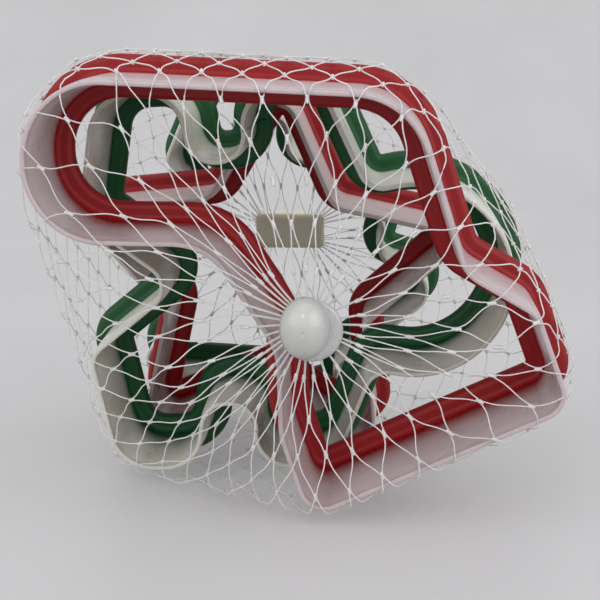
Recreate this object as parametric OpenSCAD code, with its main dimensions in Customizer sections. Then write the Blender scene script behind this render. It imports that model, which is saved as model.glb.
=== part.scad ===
// Four cookie cutters standing one behind another in a gathered net bag.
// Millimetres, +Z up. X runs to the right, Y runs back through the stack.
// The origin is on the floor, under the middle of the bag.

/* [Stack] */
// Distance from one cutter's grip to the next
pitch = 22.8; // [19:0.1:26]
// How far the stack leans, nose down
lean = 5; // [0:0.5:7]
// How far each cutter can shift back in the net
shift = 0.7; // [0.2:0.1:0.8]

/* [Cutters] */
// How far the cutting wall stands out in front of the grip
wall_depth = 19; // [12:0.1:22]
// Thickness of the cutting wall
wall_thick = 1.4; // [1:0.1:2]
// Thickness of the wall at its cutting edge
edge_thick = 0.8; // [0.5:0.1:1]
// Depth of the thinner cutting edge
edge_depth = 2.6; // [1:0.1:5]
// Width of the grip rim
grip_width = 7.3; // [5:0.1:7.5]
// Thickness of the grip rim
grip_thick = 2.8; // [2:0.1:4]
// How deep the wall sits in the grip
seat = 0.8; // [0.4:0.1:1.5]

/* [Net] */
// Thickness of the net
net_thick = 0.4; // [0.3:0.05:0.8]
// Room between the net and the cutters
net_gap = 0.55; // [0.4:0.05:1]

/* [Closures] */
// Radius of the front button's stem
stem_r = 1.5; // [1:0.1:2]
// Running clearance around the stem
stem_gap = 0.05; // [0.02:0.01:0.1]
// Radius of the collar behind the button
washer_r = 5; // [4:0.1:7]
// Size of the rear clip across, back and up
clip_size = [15.9, 5.2, 8.1]; // [3:0.1:20]

/* [Hidden] */
$fn = 96;
arc_step = 12;
tip_y = -wall_depth;
front_y = tip_y - 3.4;
front_gap = 2 * net_gap;
last_y = 3 * pitch;
rear_y = last_y + grip_thick + shift + net_gap + 3;
mid_y = 26;
button_at = [2.1, 33.7];
clip_at = [-6.6, 31.1];
washer_thick = 1;
base_lift = 2.15 + net_thick + net_gap;

// Corners of each outline along the middle of its wall: across, up, corner radius
stocking_pts = [
    [-42.2, 70.9, 12.2], [-42.2, 45.5, 12.2], [-13.6, 45.3, 10], [-2.4, 28.4, 12], [-2, 14, 10],
    [2.6, 0.2, 3.9], [43.9, 19.6, 4], [38.2, 34.6, 5], [27, 41, 6], [18, 68.3, 12.6]];
man_half = [
    [-22.8, 0, 4.1], [-39.1, 12.6, 4.1], [-35.2, 33.6, 7.6], [-21, 33.8, 6.7], [-19, 21.7, 4.7],
    [-9, 21.7, 4.7], [-10.8, 33.6, 5.9], [3.9, 33.6, 5.9], [11.4, 15.9, 4.1], [24.8, 18.2, 16.7],
    [42.8, 0, 16.7]];
tree_half = [
    [-17.9, 0, 4.4], [-2.3, 13.7, 4], [4.6, 10.1, 4], [7.6, 20.7, 4], [16, 15.5, 4],
    [21.5, 28, 4.2], [29.9, 22.3, 4.2], [39.3, 36.2, 4.4], [50.4, 6.6, 4], [57.2, 6.6, 4]];
star_pts = [
    for (k = [0:4]) each [
        [-7.9 + 40 * cos(86.8 + 72 * k), 28.5 + 40 * sin(86.8 + 72 * k), 3.9],
        [-7.9 + 20.3 * cos(122.8 + 72 * k), 28.5 + 20.3 * sin(122.8 + 72 * k), 4.3]]];
man_pts = placed(mirrored(man_half), [0.75, 34.3], 2);
tree_pts = placed(mirrored(tree_half), [-17.4, 51.3], -72.4);
all_pts = [stocking_pts, man_pts, star_pts, tree_pts];

function unit(v) = v / norm(v);
function xy(p) = [p[0], p[1]];

// A half outline joined to its mirror image, counter-clockwise
function mirrored(half) = concat(
    [for (p = half) [p[0], -p[1], p[2]]],
    [for (i = [len(half) - 1:-1:0]) if (half[i][1] > 0.01) half[i]]);

function placed(pts, at, turn) =
    [for (p = pts) [at[0] + cos(turn) * p[0] - sin(turn) * p[1], at[1] + sin(turn) * p[0] + cos(turn) * p[1], p[2]]];

// The arc that rounds corner q, moved outwards by move
function corner(p, q, s, move, step) =
    let (
        a = unit(xy(p) - xy(q)),
        b = unit(xy(s) - xy(q)),
        half = acos(a * b) / 2,
        centre = xy(q) + unit(a + b) * q[2] / sin(half),
        start = xy(q) + a * q[2] / tan(half) - centre,
        side = cross(a, b) < 0 ? 1 : -1,
        sweep = side * (180 - 2 * half),
        from = atan2(start[1], start[0]),
        radius = q[2] + side * move,
        steps = max(2, ceil(abs(sweep) / step)))
    [for (i = [0:steps]) centre + radius * [cos(from + sweep * i / steps), sin(from + sweep * i / steps)]];

function outline(pts, move = 0, step = arc_step) =
    let (n = len(pts))
    [for (i = [0:n - 1]) each corner(pts[(i + n - 1) % n], pts[i], pts[(i + 1) % n], move, step)];

// Stands the stack on the floor, leaning nose down
module stood() translate([0, -mid_y, base_lift]) rotate([lean, 0, 0]) children();

// Turns a flat shape upright between two depths
module upright(y0, y1) translate([0, y1, 0]) rotate([90, 0, 0]) linear_extrude(y1 - y0) children();

module band(pts, width, y0, y1)
    upright(y0, y1) difference() {
        polygon(outline(pts, width / 2));
        polygon(outline(pts, -width / 2));
    }

module blade(i) stood() translate([0, i * pitch, 0]) {
    band(all_pts[i], wall_thick, tip_y + edge_depth, seat);
    band(all_pts[i], edge_thick, tip_y, tip_y + edge_depth);
}

module grip(i) stood() translate([0, i * pitch, 0])
    difference() {
        band(all_pts[i], grip_width, 0, grip_thick);
        band(all_pts[i], wall_thick, -1, seat);
    }

// The space the net is drawn tight around, grown by g
module wrapped(g) hull() {
    stood() {
        for (i = [0:3]) translate([0, i * pitch, 0]) {
            upright(tip_y - front_gap - g, tip_y) polygon(outline(all_pts[i], wall_thick / 2 + net_gap + g, 18));
            upright(-net_gap - g, grip_thick + shift + net_gap + g)
                polygon(outline(all_pts[i], grip_width / 2 + net_gap + g, 18));
        }
        translate([button_at[0], front_y + net_thick - g, button_at[1]])
            rotate([-90, 0, 0]) cylinder(r = 4.2 + g, h = 1, $fn = 12);
        translate([clip_at[0] - 4.4 - g, rear_y - net_thick + g - 1, clip_at[1] - 2 - g])
            cube([8.8 + 2 * g, 1, 4 + 2 * g]);
    }
    translate([0, -mid_y, net_thick - g]) linear_extrude(0.2)
        polygon([[-3 - g, 1 - g], [9 + g, 1 - g], [13 + g, 46], [5 + g, 69 + g], [-9 - g, 69 + g], [-28 - g, 46]]);
}

module net_bag() color("white") {
    difference() {
        wrapped(net_thick);
        wrapped(0);
        stood() translate([button_at[0], front_y - 1, button_at[1]])
            rotate([-90, 0, 0]) cylinder(r = stem_r + stem_gap, h = 3);
    }
    stood() translate([clip_at[0] - 4.5, rear_y - 0.3, clip_at[1] - 1]) cube([9, 3.9, 2]);
}

module rear_clip() color("ivory") stood()
    translate([clip_at[0], rear_y, clip_at[1]]) difference() {
        translate([-clip_size[0] / 2, 0, -clip_size[2] / 2]) cube(clip_size);
        translate([-4.5, -1, -1]) cube([9, 4.6, 2]);
    }

module front_washer() color("whitesmoke") stood()
    translate([button_at[0], front_y, button_at[1]]) rotate([90, 0, 0])
        difference() {
            translate([0.9, -0.9, 0]) cylinder(r = washer_r, h = washer_thick);
            translate([0, 0, -1]) cylinder(r = stem_r + stem_gap, h = washer_thick + 2);
        }

// Half of the button's section, from its flat back to the top of its dome
dome = [[3.8, 0], for (a = [0:9:81]) [3.8 * cos(a), 1 + 4.6 * sin(a)], [0, 5.6]];

module front_button() color("white") stood()
    translate([button_at[0], front_y - washer_thick - 0.05, button_at[1]]) rotate([90, 0, 0]) {
        for (d = [-0.95, 0.95]) translate([0, d, 0]) rotate_extrude() polygon(concat([[0, 0]], dome));
        translate([0, 0.95, 0]) rotate([90, 0, 0]) linear_extrude(1.9)
            polygon(concat(dome, [for (i = [len(dome) - 2:-1:0]) [-dome[i][0], dome[i][1]]]));
        translate([0, 0, -4.6]) cylinder(r = stem_r, h = 4.7);
    }

module stocking_blade() color("white") blade(0);
module stocking_grip() color("firebrick") grip(0);
module gingerbread_blade() color("white") blade(1);
module gingerbread_grip() color("darkgreen") grip(1);
module star_blade() color("white") blade(2);
module star_grip() color("firebrick") grip(2);
module tree_blade() color("white") blade(3);
module tree_grip() color("darkgreen") grip(3);

net_bag();
rear_clip();
front_washer();
front_button();
stocking_blade();
stocking_grip();
gingerbread_blade();
gingerbread_grip();
star_blade();
star_grip();
tree_blade();
tree_grip();
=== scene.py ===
"""Four cookie cutters standing in a knotted net bag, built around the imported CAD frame."""
import math

import bpy
import bmesh
import numpy as np
from mathutils import Matrix, Vector

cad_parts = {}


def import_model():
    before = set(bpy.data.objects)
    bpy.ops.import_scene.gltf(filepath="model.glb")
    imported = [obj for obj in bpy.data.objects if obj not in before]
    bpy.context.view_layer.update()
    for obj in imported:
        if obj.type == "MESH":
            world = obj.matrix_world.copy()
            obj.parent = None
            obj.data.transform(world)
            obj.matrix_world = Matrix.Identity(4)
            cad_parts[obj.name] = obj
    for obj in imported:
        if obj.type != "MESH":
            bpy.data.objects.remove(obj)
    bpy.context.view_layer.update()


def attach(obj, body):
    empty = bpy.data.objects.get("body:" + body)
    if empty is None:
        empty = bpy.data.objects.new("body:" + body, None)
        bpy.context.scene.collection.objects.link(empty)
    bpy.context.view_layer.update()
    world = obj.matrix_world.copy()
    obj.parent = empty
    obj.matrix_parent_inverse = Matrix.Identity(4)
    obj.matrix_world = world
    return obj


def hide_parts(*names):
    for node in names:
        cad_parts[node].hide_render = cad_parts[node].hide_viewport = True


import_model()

rng = np.random.default_rng(7)

# The stack's own axes, in millimetres: X right, Y back through the stack, Z up
PITCH = 22.8
LEAN = math.radians(5)
MID_Y = 26.0
LIFT = 3.1
COS, SIN = math.cos(LEAN), math.sin(LEAN)
AXIS = (0.0, COS, SIN)

# One cutter: its grip's front face is at depth 0 and its wall's cutting edge at TIP_Y
TIP_Y = -19.0
EDGE_DEPTH = 2.6
WALL_HALF = 0.7
EDGE_HALF = 0.4
GRIP_HALF = 3.65
GRIP_THICK = 2.8

# How far a cutter shifts back, and the room between the cutters and the CAD's net
SHIFT = 0.7
NET_ROOM = 0.55

# The closures at the net's two ends: places across and up, size and depths
BUTTON_AT = (2.1, 33.7)
CLIP_AT = (-6.6, 31.1)
CLIP_SIZE = (15.9, 5.2, 8.1)
FRONT_Y = TIP_Y - 3.4
REAR_Y = 3 * PITCH + GRIP_THICK + SHIFT + NET_ROOM + 3


def world(points):
    """Stack millimetres to frame metres, for one point or for rows of them."""
    a = np.asarray(points, float)
    out = np.empty_like(a)
    out[..., 0] = a[..., 0]
    out[..., 1] = a[..., 1] * COS - a[..., 2] * SIN - MID_Y
    out[..., 2] = a[..., 1] * SIN + a[..., 2] * COS + LIFT
    return out / 1000


# ---------------------------------------------------------------- outlines
# Corners along the middle of each wall: across, up, corner radius
STOCKING = [(-42.2, 70.9, 12.2), (-42.2, 45.5, 12.2), (-13.6, 45.3, 10), (-2.4, 28.4, 12), (-2, 14, 10),
            (2.6, 0.2, 3.9), (43.9, 19.6, 4), (38.2, 34.6, 5), (27, 41, 6), (18, 68.3, 12.6)]
MAN_HALF = [(-22.8, 0, 4.1), (-39.1, 12.6, 4.1), (-35.2, 33.6, 7.6), (-21, 33.8, 6.7), (-19, 21.7, 4.7),
            (-9, 21.7, 4.7), (-10.8, 33.6, 5.9), (3.9, 33.6, 5.9), (11.4, 15.9, 4.1), (24.8, 18.2, 16.7),
            (42.8, 0, 16.7)]
TREE_HALF = [(-17.9, 0, 4.4), (-2.3, 13.7, 4), (4.6, 10.1, 4), (7.6, 20.7, 4), (16, 15.5, 4),
             (21.5, 28, 4.2), (29.9, 22.3, 4.2), (39.3, 36.2, 4.4), (50.4, 6.6, 4), (57.2, 6.6, 4)]


def star(at, tip, notch):
    """Five tips and notches in turn, each given as distance from the middle, first angle and radius."""
    pts = []
    for k in range(5):
        for reach, angle, radius in (tip, notch):
            t = math.radians(angle + 72 * k)
            pts.append((at[0] + reach * math.cos(t), at[1] + reach * math.sin(t), radius))
    return pts


def mirrored(half):
    """A half outline joined to its mirror image, counter-clockwise."""
    return [(u, -v, r) for u, v, r in half] + [p for p in reversed(half) if p[1] > 0.01]


def placed(pts, at, turn):
    """The outline turned by turn degrees and moved to at."""
    c, s = math.cos(math.radians(turn)), math.sin(math.radians(turn))
    return [(at[0] + c * u - s * v, at[1] + s * u + c * v, r) for u, v, r in pts]


MAN = placed(mirrored(MAN_HALF), (0.75, 34.3), 2)
TREE = placed(mirrored(TREE_HALF), (-17.4, 51.3), -72.4)
STAR = star((-7.9, 28.5), (40, 86.8, 3.9), (20.3, 122.8, 4.3))


def outline(pts, move=0.0, step=5.0):
    """The closed outline with its corners rounded in steps of step degrees, moved outwards by move."""
    out = []
    n = len(pts)
    for i in range(n):
        p, q, s = (np.array(pts[(i + k) % n][:2], float) for k in (-1, 0, 1))
        radius = pts[i][2]
        a, b = (p - q) / np.linalg.norm(p - q), (s - q) / np.linalg.norm(s - q)
        half = math.acos(float(a @ b)) / 2
        m = (a + b) / np.linalg.norm(a + b)
        centre = q + m * radius / math.sin(half)
        start = q + a * radius / math.tan(half) - centre
        side = 1 if a[0] * b[1] - a[1] * b[0] < 0 else -1
        sweep = side * (math.pi - 2 * half)
        first = math.atan2(start[1], start[0])
        steps = max(3, math.ceil(math.degrees(abs(sweep)) / step))
        for k in range(steps + 1):
            t = first + sweep * k / steps
            out.append(centre + (radius + side * move) * np.array([math.cos(t), math.sin(t)]))
    return np.array(out)


# ---------------------------------------------------------------- mesh helpers
def make(name, verts, faces, body, node):
    """A smooth-shaded mesh piece that rides on body and replaces the CAD's node."""
    mesh = bpy.data.meshes.new(name)
    mesh.from_pydata([tuple(v) for v in verts], [], [tuple(f) for f in faces])
    mesh.validate()
    obj = bpy.data.objects.new(name, mesh)
    bpy.context.scene.collection.objects.link(obj)
    bm = bmesh.new()
    bm.from_mesh(mesh)
    bmesh.ops.recalc_face_normals(bm, faces=bm.faces)
    bm.to_mesh(mesh)
    bm.free()
    mesh.polygons.foreach_set("use_smooth", [True] * len(mesh.polygons))
    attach(obj, body)
    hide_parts(node)
    return obj


def weigh_normals(obj):
    """Keeps flat faces flat beside their rounded edges."""
    mod = obj.modifiers.new("normals", "WEIGHTED_NORMAL")
    mod.keep_sharp = False
    mod.weight = 80


def ring_faces(rings, count):
    """Quads between consecutive rings of count points each, the last ring joined to the first."""
    faces = []
    for ring in range(rings):
        a, b = ring * count, ((ring + 1) % rings) * count
        for i in range(count):
            j = (i + 1) % count
            faces.append((a + i, a + j, b + j, b + i))
    return faces


def swept(name, pts, section, y0, body, node):
    """Sweeps a closed section of (outward, back) points round an outline."""
    verts = []
    for d, y in section:
        o = outline(pts, d)
        verts.append(np.column_stack([o[:, 0], np.full(len(o), y0 + y), o[:, 1]]))
    count = len(verts[0])
    obj = make(name, world(np.concatenate(verts)), ring_faces(len(section), count), body, node)
    # How far the wall's inner face looks up, and 0 on its outer one; this spreads the painted reflection of
    # the rim further on upward faces
    outwards = outline(pts, 1.0) - outline(pts, 0.0)
    up = np.concatenate([outwards[:, 1] * (0 if d > 0 else -1) for d, _ in section])
    mark = obj.data.attributes.new("up", "FLOAT", "POINT")
    mark.data.foreach_set("value", up.astype(np.float32))
    weigh_normals(obj)
    return obj


def arc(cx, cy, r, a0, a1, n):
    """Points on an arc in n steps, with its angles in degrees."""
    return [(cx + r * math.cos(math.radians(a0 + (a1 - a0) * k / n)),
             cy + r * math.sin(math.radians(a0 + (a1 - a0) * k / n))) for k in range(n + 1)]


def mirror_section(right):
    """The section's right half joined to its mirror image."""
    return right + [(-d, y) for d, y in reversed(right)]


RIM = 1.15
BACK_RIM = 0.9
FILLET = 0.9
TIP_ROUND = 0.3
# From the wall's root, down the fillet, over the front face, round the rim and along the back
GRIP_SECTION = mirror_section(
    [(0.45, -FILLET - 0.1)]
    + arc(WALL_HALF + FILLET + 0.02, -FILLET, FILLET, 180, 90, 5)
    + arc(GRIP_HALF - RIM, RIM, RIM, -90, 0, 6)
    + arc(GRIP_HALF - BACK_RIM, GRIP_THICK - BACK_RIM, BACK_RIM, 0, 90, 5))
# From inside the grip, out along the wall's face and down to its cutting edge
BLADE_SECTION = mirror_section(
    [(WALL_HALF, 0.6), (WALL_HALF, -1.5), (WALL_HALF, -5.0), (WALL_HALF, -9.5), (WALL_HALF - 0.02, -12.6),
     (WALL_HALF - 0.1, TIP_Y + EDGE_DEPTH + 0.9), (EDGE_HALF + 0.12, TIP_Y + EDGE_DEPTH),
     (EDGE_HALF + 0.03, TIP_Y + EDGE_DEPTH - 0.9), (EDGE_HALF, TIP_Y + 0.5)]
    + arc(EDGE_HALF - TIP_ROUND, TIP_Y + TIP_ROUND, TIP_ROUND, 0, -80, 4))


# ---------------------------------------------------------------- materials
class Nodes:
    """Builds one material's nodes round its Principled shader, in object coordinates."""

    def __init__(self, name):
        self.mat = bpy.data.materials.new(name)
        self.mat.use_nodes = True
        self.tree = self.mat.node_tree
        self.shader = self.tree.nodes["Principled BSDF"]
        self.coord = self.add("ShaderNodeTexCoord").outputs["Object"]

    def add(self, kind, **values):
        node = self.tree.nodes.new(kind)
        for key, value in values.items():
            setattr(node, key, value)
        return node

    def feed(self, socket, value):
        """Links another node's output to the socket, or sets a constant on it."""
        if isinstance(value, bpy.types.NodeSocket):
            self.tree.links.new(value, socket)
        elif isinstance(value, (int, float)):
            socket.default_value = value
        else:
            missing = len(socket.default_value) - len(value)
            socket.default_value = (*value, *[1] * missing)

    def noise(self, scale, detail, rough):
        node = self.add("ShaderNodeTexNoise")
        node.inputs["Scale"].default_value = scale
        node.inputs["Detail"].default_value = detail
        node.inputs["Roughness"].default_value = rough
        self.feed(node.inputs["Vector"], self.coord)
        return node.outputs["Fac"]

    def ramp(self, fac, stops):
        """Colours at places from 0 to 1. A stop's colour may also be one grey level."""
        node = self.add("ShaderNodeValToRGB")
        while len(node.color_ramp.elements) < len(stops):
            node.color_ramp.elements.new(0.5)
        for e, (at, colour) in zip(node.color_ramp.elements, stops):
            e.position = at
            e.color = (colour, colour, colour, 1) if isinstance(colour, (int, float)) else (*colour, 1)
        self.feed(node.inputs["Fac"], fac)
        return node.outputs["Color"]

    def mix(self, fac, a, b, blend="MIX"):
        node = self.add("ShaderNodeMix", data_type="RGBA", blend_type=blend)
        # inputs 0, 6 and 7 are the factor and the two colours
        for at, value in ((0, fac), (6, a), (7, b)):
            self.feed(node.inputs[at], value)
        return node.outputs[2]

    def math(self, op, a, b):
        node = self.add("ShaderNodeMath", operation=op)
        self.feed(node.inputs[0], a)
        self.feed(node.inputs[1], b)
        return node.outputs[0]

    def along(self, y_from, y_to):
        """0 to 1 between two depths, in stack millimetres."""
        dot = self.add("ShaderNodeVectorMath", operation="DOT_PRODUCT")
        self.feed(dot.inputs[0], self.coord)
        self.feed(dot.inputs[1], AXIS)
        node = self.add("ShaderNodeMapRange")
        # A point's depth is its dot product with the stack's axis, less the origin's own
        base = (LIFT * SIN - MID_Y * COS) / 1000
        node.inputs["From Min"].default_value = y_from / 1000 + base
        node.inputs["From Max"].default_value = y_to / 1000 + base
        self.feed(node.inputs["Value"], dot.outputs["Value"])
        return node.outputs["Result"]

    def bump(self, height, strength, distance):
        node = self.add("ShaderNodeBump")
        node.inputs["Strength"].default_value = strength
        node.inputs["Distance"].default_value = distance
        self.feed(node.inputs["Height"], height)
        self.feed(self.shader.inputs["Normal"], node.outputs["Normal"])

    def put(self, **values):
        """Sets the shader's own sockets, named with _ for a space."""
        for key, value in values.items():
            self.feed(self.shader.inputs[key.replace("_", " ")], value)


def lin(*srgb):
    """sRGB 0-255 to linear."""
    return tuple(((c / 255) / 12.92) if c / 255 <= 0.04045 else (((c / 255) + 0.055) / 1.055) ** 2.4
                 for c in srgb)


def blade_material(name, white, root, y0):
    """Whitish wall with the rim's colour painted onto its root as reflected light, spread further out where
    the wall looks up.
    """
    n = Nodes(name)
    fine = n.noise(900, 4, 0.6)
    broad = n.noise(60, 3, 0.5)
    # Painted reflection of the rim's colour: its strength falls with the distance from the root, over about
    # 12 mm, and more slowly where the wall looks up
    up = n.math("MAXIMUM", n.add("ShaderNodeAttribute", attribute_name="up").outputs["Fac"], 0.0)
    falloff = n.math("ADD", n.math("MULTIPLY", up, -1.15), 1.6)
    depth = n.math("MULTIPLY", n.along(y0 + 0.5, y0 - 12.0), falloff)
    ragged = n.math("ADD", depth, n.math("MULTIPLY", n.math("SUBTRACT", broad, 0.5), 0.08))
    painted_rim_bleed = n.ramp(ragged, [(at, tuple(k * a + (1 - k) * b for a, b in zip(root, white)))
                           for at, k in ((0.0, 1), (0.13, 1), (0.24, 0.62), (0.38, 0.22), (0.62, 0))])
    # The very tip is a little darker
    tip = n.math("MULTIPLY", n.along(y0 + TIP_Y + 1.4, y0 + TIP_Y + 0.4), 0.3)
    painted_rim_bleed = n.mix(tip, painted_rim_bleed, tuple(0.5 * c for c in white))
    n.put(Base_Color=n.mix(0.05, painted_rim_bleed, n.ramp(fine, [(0.35, 0.35), (0.65, 1)]), "MULTIPLY"),
          Roughness=n.ramp(broad, [(0.3, 0.24), (0.7, 0.32)]),
          IOR=1.42,
          Subsurface_Weight=0.15, Subsurface_Radius=(0.004, 0.003, 0.003), Subsurface_Scale=0.4)
    n.bump(n.math("ADD", n.math("MULTIPLY", fine, 0.3), broad), 0.12, 0.0002)
    return n.mat


def grip_material(name, front, rim, y0):
    """Coloured plastic with painted shade that darkens it towards its back, a faint painted glow, and sparse
    pale specks of dust.
    """
    n = Nodes(name)
    fine = n.noise(1400, 3, 0.6)
    broad = n.noise(45, 4, 0.55)
    cells = n.add("ShaderNodeTexVoronoi")
    cells.inputs["Scale"].default_value = 700
    n.feed(cells.inputs["Vector"], n.coord)
    specks = n.ramp(cells.outputs["Distance"], [(0.0, 1), (0.05, 0)])
    sparse = n.ramp(n.noise(260, 2, 0.5), [(0.6, 0), (0.66, 1)])
    # Painted shade: a little lighter at the front, darkening to the shaded rim colour at the back
    base = n.ramp(n.along(y0 - 1.0, y0 + 2.4),
                  [(0.0, tuple(min(1, c * 1.15) for c in front)), (0.35, front), (0.8, rim), (1.0, rim)])
    base = n.mix(0.22, base, n.ramp(broad, [(0.3, 0.6), (0.7, 1)]), "MULTIPLY")
    dust = n.math("MULTIPLY", n.math("MULTIPLY", specks, sparse), 0.5)
    # The faint glow in the grip's own colour is painted light, standing in for light passing through the
    # plastic
    n.put(Base_Color=n.mix(dust, base, (0.75, 0.7, 0.68)),
          Roughness=n.ramp(broad, [(0.3, 0.44), (0.7, 0.56)]),
          IOR=1.38,
          Subsurface_Weight=0.05, Subsurface_Radius=(0.003, 0.001, 0.001), Subsurface_Scale=0.3,
          Emission_Color=base, Emission_Strength=0.1)
    n.bump(n.math("ADD", n.math("MULTIPLY", fine, 0.4), broad), 0.15, 0.00015)
    return n.mat


# ---------------------------------------------------------------- cutters
# Colours of a grip's front, the painted shade on its rim and back, and the walls beside it
RED, RED_SHADED = lin(130, 12, 17), lin(117, 11, 16)
GREEN, GREEN_SHADED = lin(18, 72, 36), lin(7, 40, 19)
PINKISH, PALE_PINK, GREENISH = lin(188, 173, 175), lin(208, 192, 192), lin(212, 212, 201)

CUTTERS = [("stocking", STOCKING, RED, RED_SHADED, PINKISH),
           ("gingerbread", MAN, GREEN, GREEN_SHADED, GREENISH),
           ("star", STAR, RED, RED_SHADED, PALE_PINK),
           ("tree", TREE, GREEN, GREEN_SHADED, GREENISH)]
for i, (name, pts, colour, rim, white) in enumerate(CUTTERS):
    y0 = i * PITCH
    blade = swept(name + "_wall", pts, BLADE_SECTION, y0, name, name + "_blade")
    blade.data.materials.append(blade_material(name + "_wall_plastic", white, colour, y0))
    grip = swept(name + "_rim", pts, GRIP_SECTION, y0, name, name + "_grip")
    grip.data.materials.append(grip_material(name + "_rim_plastic", colour, rim, y0))


# ---------------------------------------------------------------- the net
# Knots round the net and rows of bars from front to rear, with the bars' length
COLS, ROWS, BAR = 34, 23, 7.5
STRAND_R = 0.11
# Room round the cutters, and more behind each for its slide back
HULL_GAP = 0.6
HULL_BACK = 0.85
# The floor, as the stack sees it
FLOOR_N = np.array([0.0, SIN, COS])
FLOOR_GAP = 0.34 - LIFT
FRONT_END = np.array([BUTTON_AT[0], FRONT_Y + 0.1, BUTTON_AT[1]])
REAR_END = np.array([CLIP_AT[0], REAR_Y + 0.6, CLIP_AT[1]])


def hull_planes():
    """The convex form that the net is drawn tight around: its faces' normals and distances."""
    pts = []
    for i, cutter in enumerate(CUTTERS):
        y0 = i * PITCH
        edge = outline(cutter[1], EDGE_HALF + 0.1 + HULL_GAP, 15)
        grip = outline(cutter[1], GRIP_HALF + HULL_GAP, 15)
        pts += [(x, y0 + TIP_Y - HULL_GAP, z) for x, z in edge]
        pts += [(x, y0 + y, z) for x, z in grip for y in (-HULL_GAP, GRIP_THICK + HULL_BACK + HULL_GAP)]
    bm = bmesh.new()
    for at in pts:
        bm.verts.new(at)
    bmesh.ops.convex_hull(bm, input=bm.verts)
    bmesh.ops.triangulate(bm, faces=bm.faces)
    bm.normal_update()
    planes = []
    for face in bm.faces:
        normal = face.normal.normalized()
        if normal.length > 0.5:
            planes.append((*normal, normal.dot(face.verts[0].co)))
    bm.free()
    planes = np.unique(np.round(planes, 4), axis=0)
    normals, offsets = planes[:, :3], planes[:, 3]
    # Every normal is turned away from a point well inside
    flip = (normals @ np.array([0.0, 22.0, 33.0]) - offsets) > 0
    normals[flip] *= -1
    offsets[flip] *= -1
    return normals, offsets


HULL_N, HULL_D = hull_planes()


def push_out(points):
    """Moves points that are inside the hull out through its nearest face, and lifts them off the floor."""
    d = points @ HULL_N.T - HULL_D
    nearest = np.argmax(d, axis=-1)
    depth = np.take_along_axis(d, nearest[..., None], -1)[..., 0]
    inside = depth < 0
    points = np.where(inside[..., None], points - HULL_N[nearest] * depth[..., None], points)
    low = FLOOR_GAP - points @ FLOOR_N
    return points + np.maximum(low, 0)[..., None] * FLOOR_N


def side_shift(row):
    """Each knot joins its own column of the next row and the one before (even rows) or after it (odd)."""
    return 1 if row % 2 == 0 else -1


def knot_angle(row, column):
    """Odd rows stand half a column round."""
    return 2 * math.pi * (column + 0.5 * (row % 2)) / COLS


def start_net():
    """A point on the hull for each knot, spaced along its column's own path from front to rear."""
    grid = np.zeros((ROWS + 1, COLS, 3))
    for j in range(COLS):
        for half in (0, 1):
            angle = knot_angle(half, j)
            outwards = np.array([math.cos(angle), 0, math.sin(angle)])
            # The path's points: out from the net's own axis as far as the hull goes
            path = []
            for t in np.linspace(0, 1, 181):
                centre = FRONT_END + (REAR_END - FRONT_END) * t
                den = HULL_N @ outwards
                num = HULL_D - HULL_N @ centre
                with np.errstate(divide="ignore", invalid="ignore"):
                    reaches = np.where(den > 1e-9, num / den, np.inf)
                ahead = reaches[reaches > 0]
                inside = (num >= 0).all()
                reach = float(ahead.min()) if inside and ahead.size else 0.0
                path.append(centre + outwards * max(reach, 1.4))
            path = np.array(path)
            run = np.concatenate([[0], np.cumsum(np.linalg.norm(np.diff(path, axis=0), axis=1))])
            for i in range(half, ROWS + 1, 2):
                at = run[-1] * i / ROWS
                grid[i, j] = [np.interp(at, run, path[:, k]) for k in range(3)]
    return grid


def pin_ends(grid):
    """Ties the front end in a small ring, and the rear end in one that is squared out to the clip's edges."""
    for row, centre, across, upwards, power in ((0, FRONT_END, 1.9, 1.9, 1.0),
                                                (ROWS, REAR_END, 7.3, 3.4, 0.35)):
        for j in range(COLS):
            co, si = math.cos(knot_angle(row, j)), math.sin(knot_angle(row, j))
            grid[row, j] = centre + np.array([across * math.copysign(abs(co) ** power, co), 0,
                                              upwards * math.copysign(abs(si) ** power, si)])
    return grid


def relax(grid, rounds):
    """Draws the bars to their knotted length while the hull holds the net out."""
    for _ in range(rounds):
        for first in (0, 1):
            rows = np.arange(first, ROWS, 2)
            free_a = np.where(rows == 0, 0.0, 0.5)[:, None, None]
            free_b = np.where(rows + 1 == ROWS, 0.0, 0.5)[:, None, None]
            for side in (0, 1):
                shift = side * side_shift(first)
                d = np.roll(grid[rows + 1], shift, axis=1) - grid[rows]
                length = np.linalg.norm(d, axis=-1, keepdims=True) + 1e-9
                over = length - BAR
                # A long bar is drawn in harder than a short one is let out
                move = d / length * over * np.where(over > 0, 0.5, 0.22)
                grid[rows] += move * free_a / (free_a + free_b)
                grid[rows + 1] -= np.roll(move * free_b / (free_a + free_b), -shift, axis=1)
        mean = np.empty_like(grid[1:-1])
        for first in (1, 2):
            rows = np.arange(first, ROWS, 2)
            shift = side_shift(first)
            mean[rows - 1] = (grid[rows - 1] + np.roll(grid[rows - 1], shift, axis=1)
                              + grid[rows + 1] + np.roll(grid[rows + 1], shift, axis=1)) / 4
        grid[1:-1] += (mean - grid[1:-1]) * 0.1
        grid[1:-1] = push_out(grid[1:-1])
    return grid


def tube(path, radii, sides, verts, faces):
    """Adds a capped tube along path to the lists."""
    path = np.asarray(path)
    base = len(verts)
    tangent = np.gradient(path, axis=0)
    tangent /= np.linalg.norm(tangent, axis=1, keepdims=True) + 1e-12
    for p, t, radius in zip(path, tangent, radii):
        u = np.cross(t, (0.31, 0.27, 0.91))
        if np.linalg.norm(u) < 0.1:
            u = np.cross(t, (1.0, 0.1, 0.0))
        u /= np.linalg.norm(u)
        w = np.cross(t, u)
        for k in range(sides):
            a = 2 * math.pi * k / sides
            verts.append(p + radius * (math.cos(a) * u + math.sin(a) * w))
    last = base + (len(path) - 1) * sides
    for ring in range(base, last, sides):
        for k in range(sides):
            l = (k + 1) % sides
            faces.append((ring + k, ring + l, ring + sides + l, ring + sides + k))
    faces.append(tuple(base + k for k in reversed(range(sides))))
    faces.append(tuple(last + k for k in range(sides)))


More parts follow.
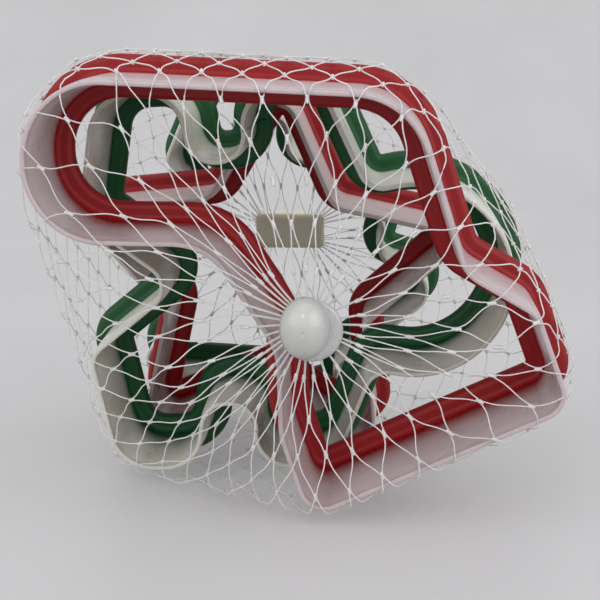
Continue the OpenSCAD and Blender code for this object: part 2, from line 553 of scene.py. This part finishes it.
def cord_directions(grid):
    """Which way the cord runs through each knot."""
    along = np.zeros_like(grid)
    for i in range(1, ROWS):
        shift = side_shift(i)
        after = (grid[i + 1] + np.roll(grid[i + 1], shift, axis=0)) / 2
        before = (grid[i - 1] + np.roll(grid[i - 1], shift, axis=0)) / 2
        along[i] = after - before
    along[0] = grid[1] - grid[0]
    along[ROWS] = grid[ROWS] - grid[ROWS - 1]
    return along / (np.linalg.norm(along, axis=-1, keepdims=True) + 1e-9)


def bar_path(a, b, leave, arrive, along):
    """A bar from knot a to knot b, a little to the side of both and curved into their directions."""
    d = b - a
    pull = np.linalg.norm(d) * (0.36 + 0.06 * rng.random())
    sideways = d - along * (d @ along)
    off = sideways / (np.linalg.norm(sideways) + 1e-9) * 0.16
    p0, p3 = a + off, b - off
    p1, p2 = p0 + leave * pull, p3 - arrive * pull
    t = np.linspace(0, 1, 10)[:, None]
    path = ((1 - t) ** 3 * p0 + 3 * (1 - t) ** 2 * t * p1 + 3 * (1 - t) * t * t * p2 + t ** 3 * p3)
    for _ in range(3):
        path = push_out(path)
        path[1:-1] = path[1:-1] / 2 + (path[:-2] + path[2:]) / 4
    return path


def net_mesh(grid):
    """The whole net's points and faces, and the length of its cord."""
    verts, faces = [], []
    cord = 0.0
    along = cord_directions(grid)
    for i in range(ROWS):
        for side in (0, 1):
            shift = side * side_shift(i)
            next_row = np.roll(grid[i + 1], shift, axis=0)
            next_along = np.roll(along[i + 1], shift, axis=0)
            for j in range(COLS):
                a, b = grid[i, j], next_row[j]
                straight = (b - a) / np.linalg.norm(b - a)
                leave = along[i, j] if i else straight
                arrive = next_along[j] if i + 1 < ROWS else straight
                path = bar_path(a, b, leave, arrive, along[i, j])
                tube(path, [STRAND_R] * len(path), 6, verts, faces)
                cord += float(np.linalg.norm(np.diff(path, axis=0), axis=1).sum())
    # A knot is a short doubled lump with a turn of cord round its middle
    t = np.linspace(-1, 1, 9)
    radii = [0.13 + 0.2 * math.sqrt(max(0, 1 - s * s)) + 0.04 * math.cos(3 * math.pi * s) for s in t]
    for i in range(1, ROWS):
        for j in range(COLS):
            axis = along[i, j] + rng.normal(0, 0.08, 3)
            axis /= np.linalg.norm(axis)
            half = 0.7 + 0.16 * rng.random()
            tube(push_out(np.array([grid[i, j] + axis * s * half for s in t])), radii, 7, verts, faces)
    return verts, faces, cord


def net_material():
    """Pale cord with fine fibres along it. Its faint glow stands for light passing through."""
    n = Nodes("net_cord")
    broad = n.noise(120, 3, 0.5)
    fibre = n.noise(2600, 2, 0.5)
    colour = n.ramp(broad, [(0.3, lin(182, 180, 179)), (0.7, lin(202, 201, 200))])
    n.put(Base_Color=n.mix(0.12, colour, n.ramp(fibre, [(0.3, 0.6), (0.7, 1)]), "MULTIPLY"),
          Roughness=n.ramp(fibre, [(0.3, 0.3), (0.7, 0.42)]),
          IOR=1.5,
          Subsurface_Weight=0.7, Subsurface_Radius=(0.001, 0.001, 0.001), Subsurface_Scale=1.0,
          Transmission_Weight=0.2,
          Emission_Color=(1, 0.99, 0.98), Emission_Strength=0.08)
    n.bump(fibre, 0.2, 0.00005)
    return n.mat


grid = relax(pin_ends(start_net()), 900)
grid[1:-1] = push_out(grid[1:-1] + rng.normal(0, 0.22, grid[1:-1].shape))
verts, faces, cord_mm = net_mesh(grid)
net = make("net_mesh", world(verts), faces, "bag", "net_bag")
net.data.materials.append(net_material())


# ---------------------------------------------------------------- closures
def white_plastic(name, colour, rough, sss=0.2, transmission=0.0):
    """Moulded plastic with a thin gloss."""
    n = Nodes(name)
    fine = n.noise(1500, 3, 0.55)
    broad = n.noise(150, 3, 0.5)
    tone = n.ramp(broad, [(0.3, tuple(c * 0.94 for c in colour)), (0.7, colour)])
    n.put(Base_Color=n.mix(0.05, tone, n.ramp(fine, [(0.3, 0.5), (0.7, 1)]), "MULTIPLY"),
          Roughness=n.ramp(broad, [(0.3, rough), (0.7, rough + 0.08)]),
          IOR=1.5,
          Subsurface_Weight=sss, Subsurface_Radius=(0.003, 0.003, 0.003), Subsurface_Scale=0.5,
          Transmission_Weight=transmission, Coat_Weight=0.3, Coat_Roughness=0.05)
    n.bump(n.math("ADD", n.math("MULTIPLY", fine, 0.25), broad), 0.08, 0.0002)
    return n.mat


def lathe(name, profile, at, squash, body, node, off=0.0, inner=0.0):
    """Revolves (radius, back) points about the stack's depth axis, stretched upwards by squash.

    Rings wider than inner are set off to the right and down by off.
    """
    count = 72
    verts = []
    for r, y in profile:
        o = off if r > inner else 0.0
        for k in range(count):
            a = 2 * math.pi * k / count
            verts.append((at[0] + o + r * math.cos(a), y, at[1] - o + r * math.sin(a) * squash))
    return make(name, world(verts), ring_faces(len(profile), count), body, node)


def rounded_block(name, centre, size, radius, body, node):
    """A block with rounded edges and a shallow pressed panel on its front and back faces."""
    bm = bmesh.new()
    bmesh.ops.create_cube(bm, size=1)
    for v in bm.verts:
        v.co = Vector((v.co.x * size[0], v.co.y * size[1], v.co.z * size[2]))
    bmesh.ops.bevel(bm, geom=list(bm.edges), offset=radius, segments=5, profile=0.5, affect="EDGES")
    for face in [f for f in bm.faces if abs(f.normal.y) > 0.99 and f.calc_area() > 20]:
        bmesh.ops.inset_individual(bm, faces=[face], thickness=1.0, depth=0.0)
        bmesh.ops.inset_individual(bm, faces=[face], thickness=0.3, depth=-0.2)
    verts = [(centre[0] + v.co.x, centre[1] + v.co.y, centre[2] + v.co.z) for v in bm.verts]
    bm.verts.index_update()
    faces = [[v.index for v in f.verts] for f in bm.faces]
    bm.free()
    obj = make(name, world(verts), faces, body, node)
    weigh_normals(obj)
    return obj


# From the dome's top out over its widest part, in to the flat back and along the stem
DOME_R = 3.8
DOME_BACK = FRONT_Y - 1.05
STEM_R = 1.5
egg = [(0.02, DOME_BACK - 5.55)]
egg += [(DOME_R * math.sin(math.radians(a)), DOME_BACK - 1.9 - 3.65 * math.cos(math.radians(a)))
        for a in range(6, 91, 6)]
egg += [(3.82, DOME_BACK - 1.2), (3.78, DOME_BACK - 0.6), (3.55, DOME_BACK - 0.25), (3.0, DOME_BACK),
        (STEM_R, DOME_BACK), (STEM_R, DOME_BACK + 4.3), (1.2, DOME_BACK + 4.6), (0.02, DOME_BACK + 4.6)]
button = lathe("button_dome", egg, BUTTON_AT, 1.26, "front_button", "front_button")
button.data.materials.append(white_plastic("button_plastic", lin(177, 178, 174), 0.16, 0.35))

# Round the collar's section, from the back of its bore
ring = [(1.56, FRONT_Y - 0.02), (1.56, FRONT_Y - 0.9), (1.8, FRONT_Y - 1.0), (4.3, FRONT_Y - 0.98),
        (4.8, FRONT_Y - 0.8), (4.98, FRONT_Y - 0.5), (4.8, FRONT_Y - 0.2), (4.4, FRONT_Y - 0.02)]
washer = lathe("button_collar", ring, BUTTON_AT, 1.0, "bag", "front_washer", off=0.9, inner=2.0)
washer.data.materials.append(white_plastic("collar_plastic", lin(222, 223, 222), 0.22, 0.2, 0.55))

clip_centre = (CLIP_AT[0], REAR_Y + CLIP_SIZE[1] / 2, CLIP_AT[1])
clip = rounded_block("clip_block", clip_centre, CLIP_SIZE, 1.1, "bag", "rear_clip")
clip.data.materials.append(white_plastic("clip_plastic", lin(246, 239, 216), 0.5, 0.05))


# ---------------------------------------------------------------- floor, light and camera
def floor():
    """A pale sweep that runs back and curves up behind the object. Its glow keeps the shadow soft."""
    half_width, front, bend, radius, top, steps = 2.0, -1.2, 0.35, 0.5, 2.2, 12
    profile = [(front, 0.0), (bend, 0.0)]
    for k in range(1, steps + 1):
        a = math.radians(90 * k / steps)
        profile.append((bend + radius * math.sin(a), radius - radius * math.cos(a)))
    profile.append((bend + radius, top))
    verts = [(x, y, z) for y, z in profile for x in (-half_width, half_width)]
    faces = [(2 * k, 2 * k + 1, 2 * k + 3, 2 * k + 2) for k in range(len(profile) - 1)]
    mesh = bpy.data.meshes.new("floor_sweep")
    mesh.from_pydata(verts, [], faces)
    mesh.polygons.foreach_set("use_smooth", [True] * len(mesh.polygons))
    obj = bpy.data.objects.new("floor_sweep", mesh)
    bpy.context.scene.collection.objects.link(obj)
    n = Nodes("floor_paint")
    paint = n.ramp(n.noise(6, 4, 0.6), [(0.3, lin(148, 147, 148)), (0.7, lin(154, 153, 154))])
    n.put(Base_Color=paint, Roughness=0.45, Emission_Color=paint, Emission_Strength=0.66)
    mesh.materials.append(n.mat)


def area(name, at, look, size, power):
    """A white rectangular lamp, size metres, that faces the point look."""
    light = bpy.data.lights.new(name, "AREA")
    light.shape = "RECTANGLE"
    light.size, light.size_y = size
    light.energy = power
    obj = bpy.data.objects.new(name, light)
    obj.location = at
    obj.rotation_mode = "QUATERNION"
    obj.rotation_quaternion = (Vector(look) - Vector(at)).to_track_quat("-Z", "Y")
    bpy.context.scene.collection.objects.link(obj)


floor()
area("overhead", (0.0, -0.1, 0.75), (0, 0.0, 0.03), (1.0, 0.8), 0.35)
area("rear_fill", (0.0, 0.5, 0.62), (0, 0.03, 0.03), (0.7, 0.35), 0.5)
area("left_fill", (-0.65, -0.5, 0.35), (0, 0, 0.03), (0.7, 0.6), 1.7)
area("right_fill", (0.65, -0.5, 0.35), (0, 0, 0.03), (0.7, 0.6), 2.7)
area("front_fill", (0.0, -0.9, 0.42), (0, 0, 0.02), (1.2, 0.5), 1.0)
area("front_key", (-0.08, -0.55, 0.42), (0, -0.05, 0.03), (0.12, 0.12), 0.3)

scene = bpy.context.scene
scene.world = bpy.data.worlds.new("studio")
scene.world.use_nodes = True
background = scene.world.node_tree.nodes["Background"]
background.inputs["Color"].default_value = (0.93, 0.94, 0.96, 1)
background.inputs["Strength"].default_value = 1.02
scene.view_settings.view_transform = "Standard"

# The camera, placed in the stack's own millimetres. Its focal length is in pixels of a 600 pixel frame.
FOCAL_PX, FRAME_PX, SENSOR = 1276.0, 600, 36
DISTANCE = 220.0
EL, AZ = math.radians(13), math.radians(3.2)
TARGET = np.array([0.0, 0.0, 32.34])


def turned(v):
    """A direction in the stack's axes, turned into the frame's."""
    return Vector((v[0], v[1] * COS - v[2] * SIN, v[1] * SIN + v[2] * COS))


forward = np.array([-math.sin(AZ) * math.cos(EL), math.cos(AZ) * math.cos(EL), -math.sin(EL)])
right = np.array([math.cos(AZ), math.sin(AZ), 0.0])
upward = np.cross(right, forward)
cam = bpy.data.cameras.new("camera")
cam.sensor_width = SENSOR
cam.lens = FOCAL_PX / FRAME_PX * SENSOR
cam.clip_start, cam.clip_end = 0.01, 20
cam_obj = bpy.data.objects.new("camera", cam)
looking = Matrix((turned(right), turned(upward), -turned(forward))).transposed().to_4x4()
cam_obj.matrix_world = Matrix.Translation(world(TARGET - DISTANCE * forward)) @ looking
bpy.context.scene.collection.objects.link(cam_obj)
scene.camera = cam_obj

bpy.context.view_layer.update()
